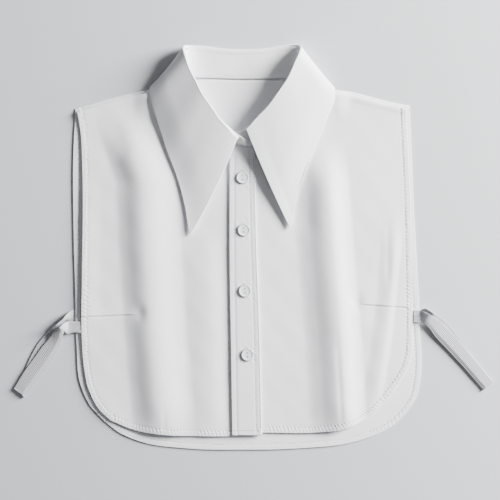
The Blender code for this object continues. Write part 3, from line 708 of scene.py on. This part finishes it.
resin = moulded_resin("white_resin")
BUTTON_PROFILE = ((0.0, 0.72), (0.6, 0.73), (0.74, 0.76), (0.80, 0.9), (0.86, 0.97), (0.93, 0.95),
                  (0.98, 0.8), (1.0, 0.6), (0.98, 0.35), (0.88, 0.08), (0.8, 0.0), (0.0, 0.0))


def turned_button(name, x, y, base):
    shape = bmesh.new()
    points = [shape.verts.new((r * BUTTON_RADIUS * MM, 0, z * BUTTON_THICK * MM)) for r, z in BUTTON_PROFILE]
    lines = [shape.edges.new(pair) for pair in zip(points, points[1:])]
    bmesh.ops.spin(shape, geom=points + lines, cent=(0, 0, 0), axis=(0, 0, 1), angle=2 * np.pi, steps=48,
                   use_duplicate=False)
    bmesh.ops.remove_doubles(shape, verts=shape.verts, dist=0.00001)
    bmesh.ops.recalc_face_normals(shape, faces=shape.faces)
    mesh = bpy.data.meshes.new(name)
    shape.to_mesh(mesh)
    shape.free()
    button = bpy.data.objects.new(name, mesh)
    bpy.context.scene.collection.objects.link(button)
    drills = []
    for side in (-1, 1):
        bore = bmesh.new()
        bmesh.ops.create_cone(bore, cap_ends=True, segments=20, radius1=HOLE_RADIUS * MM,
                              radius2=HOLE_RADIUS * MM, depth=4 * BUTTON_THICK * MM)
        bmesh.ops.translate(bore, verts=bore.verts, vec=(0, side * HOLE_OFFSET * MM, 0))
        bore_mesh = bpy.data.meshes.new("drill")
        bore.to_mesh(bore_mesh)
        bore.free()
        drill = bpy.data.objects.new("drill", bore_mesh)
        bpy.context.scene.collection.objects.link(drill)
        drills.append(drill)
        cut = button.modifiers.new("hole", "BOOLEAN")
        cut.operation = "DIFFERENCE"
        cut.object = drill
    bpy.context.view_layer.update()
    finished = bpy.data.meshes.new_from_object(button.evaluated_get(bpy.context.evaluated_depsgraph_get()))
    button.modifiers.clear()
    button.data = finished
    for drill in drills:
        bpy.data.objects.remove(drill)
    finished.materials.clear()
    finished.materials.append(resin)
    finished.shade_smooth()
    finished.set_sharp_from_angle(angle=0.7)
    button.location = (x * MM, y * MM, base * MM)
    return button


tie_thread = woven("button_thread", (0.80, 0.80, 0.82), 0.6, 0.15, 0.03, 0.2)
for number, (x, y) in enumerate(BUTTONS, 1):
    base = float(front_height(np.array(x), np.array(y))) + BUTTON_LIFT
    button = turned_button(f"resin_button_{number}", x, y, base)
    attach(button, "root")
    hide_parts(f"button_{number}")
    ends = (y - HOLE_OFFSET + 0.3, y + HOLE_OFFSET - 0.3)
    strands = [[(x + over, end, base + TIE_HEIGHT) for end in ends] for over in (-0.3, 0.3)]
    ties = stitched(f"button_thread_{number}", strands, pitch=1.4, length=1.7, width=0.35,
                    thread=tie_thread, lift=0.1)

# Arm loops: short lengths of white ribbed elastic, each doubled back on itself, running from a
# front's side edge to the back panel, where both ends are caught in the hems.
BAND_THICK = 0.8
BAND_RIB = 0.13
BAND_RIBS = 9
BAND_SECTIONS = 150
BAND_SETTLE = 60
BAND_DROOP = 1.2
BAND_LEAN = 0.5
# Routes of the loops: across is the direction of the band's width seen from above and tilt its lean
# out of level, in degrees, z the height of its lower edge, and width how much of it stays unrolled.
Band = namedtuple("Band", "x y z across tilt width")
RIGHT_BAND_OUT = (
    Band(-165.9, -195.6, 2.4, 90, 0, 11.0),
    Band(-172.0, -195.3, 2.4, 90, 0, 10.5),
    Band(-178.0, -196.0, 2.6, 92, 0, 12.0),
    Band(-181.3, -196.6, 3.2, 98, 25, 11.0),
    Band(-183.8, -197.4, 4.4, 120, 50, 9.0),
    Band(-186.4, -199.4, 5.0, 146, 24, 9.0),
    Band(-189.5, -204.8, 4.0, 148, 4, 11.0),
    Band(-193.0, -211.5, 3.0, 147, 0, 12.6),
    Band(-198.0, -219.0, 2.5, 146, 0, 14.8),
    Band(-205.0, -229.5, 2.2, 146, 0, 15.6),
    Band(-215.5, -243.6, 2.1, 146, 0, 15.3),
    Band(-227.0, -260.7, 2.0, 140, 0, 13.5),
)
RIGHT_BAND_BACK = (
    Band(-227.0, -260.7, 0.6, 140, 0, 13.5),
    Band(-216.0, -240.5, 0.6, 152, 0, 13.5),
    Band(-210.0, -227.5, 0.6, 151, 0, 13.5),
    Band(-204.7, -217.8, 0.6, 145, 0, 13.5),
    Band(-198.6, -208.6, 0.6, 137, 0, 12.0),
    Band(-194.6, -201.6, 0.6, 134, 6, 9.0),
    Band(-191.2, -196.4, 0.6, 132, 36, 6.5),
    Band(-187.6, -192.4, 0.6, 130, 70, 6.0),
    Band(-183.2, -188.7, 0.6, 126, 70, 6.0),
    Band(-179.4, -186.0, 0.6, 112, 40, 7.0),
    Band(-176.2, -184.0, 0.6, 98, 12, 8.0),
    Band(-173.9, -182.8, 0.6, 90, 0, 8.4),
)
LEFT_BAND_OUT = (
    Band(165.9, -184.6, 2.4, 90, 0, 12.0),
    Band(172.0, -184.8, 2.4, 88, 0, 12.0),
    Band(176.2, -185.6, 2.8, 76, 14, 11.0),
    Band(179.6, -187.4, 3.6, 62, 16, 10.5),
    Band(184.0, -190.7, 3.4, 52, 6, 11.2),
    Band(194.8, -201.9, 2.6, 44, 0, 14.8),
    Band(208.4, -216.6, 2.2, 43, 0, 14.2),
    Band(220.2, -230.0, 2.1, 43, 0, 13.3),
    Band(240.4, -253.9, 2.0, 42, 0, 12.2),
)
LEFT_BAND_BACK = (
    Band(240.4, -253.9, 0.6, 42, 0, 12.2),
    Band(229.6, -241.4, 0.6, 41, 0, 13.0),
    Band(219.2, -228.6, 0.6, 40, 0, 13.5),
    Band(206.7, -210.6, 0.6, 39, 0, 13.5),
    Band(194.0, -195.2, 0.6, 45, 0, 13.5),
    Band(187.4, -188.0, 0.6, 48, 4, 10.0),
    Band(183.2, -182.8, 0.6, 52, 36, 7.0),
    Band(180.0, -179.4, 0.6, 66, 60, 6.0),
    Band(178.0, -179.0, 0.6, 78, 50, 6.0),
    Band(176.2, -180.0, 0.6, 86, 24, 6.0),
    Band(174.0, -181.2, 0.6, 90, 0, 6.0),
)


def elastic_band(name, out, back):
    """A ribbed ribbon along both runs and round the fold between them."""
    upper, lower = (drafted(run, np.linspace(0, 1, BAND_SECTIONS)) for run in (out, back))
    heading = upper[-1, :2] - upper[-2, :2]
    heading /= np.linalg.norm(heading)
    half = (upper[-1, 2] - lower[0, 2]) / 2
    turn = []
    for angle in np.radians(np.arange(15, 180, 15)):
        row = (upper[-1] + lower[0]) / 2
        row[:2] += heading * half * np.sin(angle)
        row[2] += half * np.cos(angle)
        turn.append(row)
    rows = np.vstack([upper, turn, lower])
    across, tilt = np.radians(rows[:, 3]), np.radians(rows[:, 4])
    width = np.stack([np.cos(across) * np.cos(tilt), np.sin(across) * np.cos(tilt), np.sin(tilt)], axis=1)
    route = np.gradient(rows[:, :3], axis=0)
    face = np.cross(route, width)
    face /= np.linalg.norm(face, axis=1)[:, None]
    centre = rows[:, :3].copy()
    half_width = rows[:, 5] / 2
    centre[:, 2] += half_width * np.sin(tilt)
    section = np.arange(len(rows))
    outward = ease(section / BAND_SETTLE) * (section < BAND_SECTIONS)
    lines = []
    for share in np.linspace(-1, 1, 6 * BAND_RIBS + 1):
        rib = BAND_RIB * np.cos(share * BAND_RIBS * np.pi)
        line = centre + width * (share * half_width)[:, None] + face * rib
        line[:, 2] -= BAND_DROOP * outward * ease((-share - 0.35) / 0.65)
        line[:, 2] -= BAND_LEAN * outward * share
        lines.append(line)
    return cloth_piece(name, np.stack(lines), BAND_THICK, elastic)


# The elastic is white: its mid grey colour here is painted shade, the tone the straps take where they face
# away from the light.
elastic = woven("ribbed_elastic_painted_shade", (0.42, 0.42, 0.44), 0.9, 0.7, 0.18, 0.2)
for name, node, out, back, length in (
        ("elastic_right", "strap_right", RIGHT_BAND_OUT, RIGHT_BAND_BACK, 0.200),
        ("elastic_left", "strap_left", LEFT_BAND_OUT, LEFT_BAND_BACK, 0.215)):
    band = elastic_band(name, out, back)
    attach(band, "root")
    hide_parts(node)

# The surface it lies on, the studio light and the camera straight above.
ground = bpy.data.meshes.new("ground")
ground.from_pydata([(-3, -3, 0), (3, -3, 0), (3, 3, 0), (-3, 3, 0)], [], [(0, 1, 2, 3)])
floor = bpy.data.objects.new("floor", ground)
floor.location = (0, 0, -0.0002)
bpy.context.scene.collection.objects.link(floor)
floor_paint = bpy.data.materials.new("pale_board")
floor_paint.use_nodes = True
floor_shader = floor_paint.node_tree.nodes["Principled BSDF"]
floor_shader.inputs["Base Color"].default_value = (0.52, 0.53, 0.55, 1)
floor_shader.inputs["Roughness"].default_value = 0.95
ground.materials.append(floor_paint)


def soft_light(name, place, aim, size, power):
    lamp = bpy.data.lights.new(name, "AREA")
    lamp.shape = "DISK"
    lamp.size = size
    lamp.energy = power
    holder = bpy.data.objects.new(name, lamp)
    bpy.context.scene.collection.objects.link(holder)
    holder.location = place
    way = Vector(aim) - holder.location
    holder.rotation_euler = way.to_track_quat("-Z", "Y").to_euler()


MIDDLE = (0, -0.12, 0)
soft_light("key", (1.66, 0.55, 0.66), MIDDLE, 0.9, 270)
soft_light("fill", (0.5, -0.2, 2.1), MIDDLE, 1.2, 3)
world = bpy.data.worlds.new("studio")
world.use_nodes = True
world.node_tree.nodes["Background"].inputs["Color"].default_value = (0.95, 0.97, 1.0, 1)
world.node_tree.nodes["Background"].inputs["Strength"].default_value = 0.17
bpy.context.scene.world = world

VIEW_WIDTH = 0.5
lens = bpy.data.cameras.new("above")
lens.lens = 85
lens.sensor_width = 36
camera = bpy.data.objects.new("camera", lens)
camera.location = (0.003, -0.1185, VIEW_WIDTH * lens.lens / lens.sensor_width)
bpy.context.scene.collection.objects.link(camera)
bpy.context.scene.camera = camera
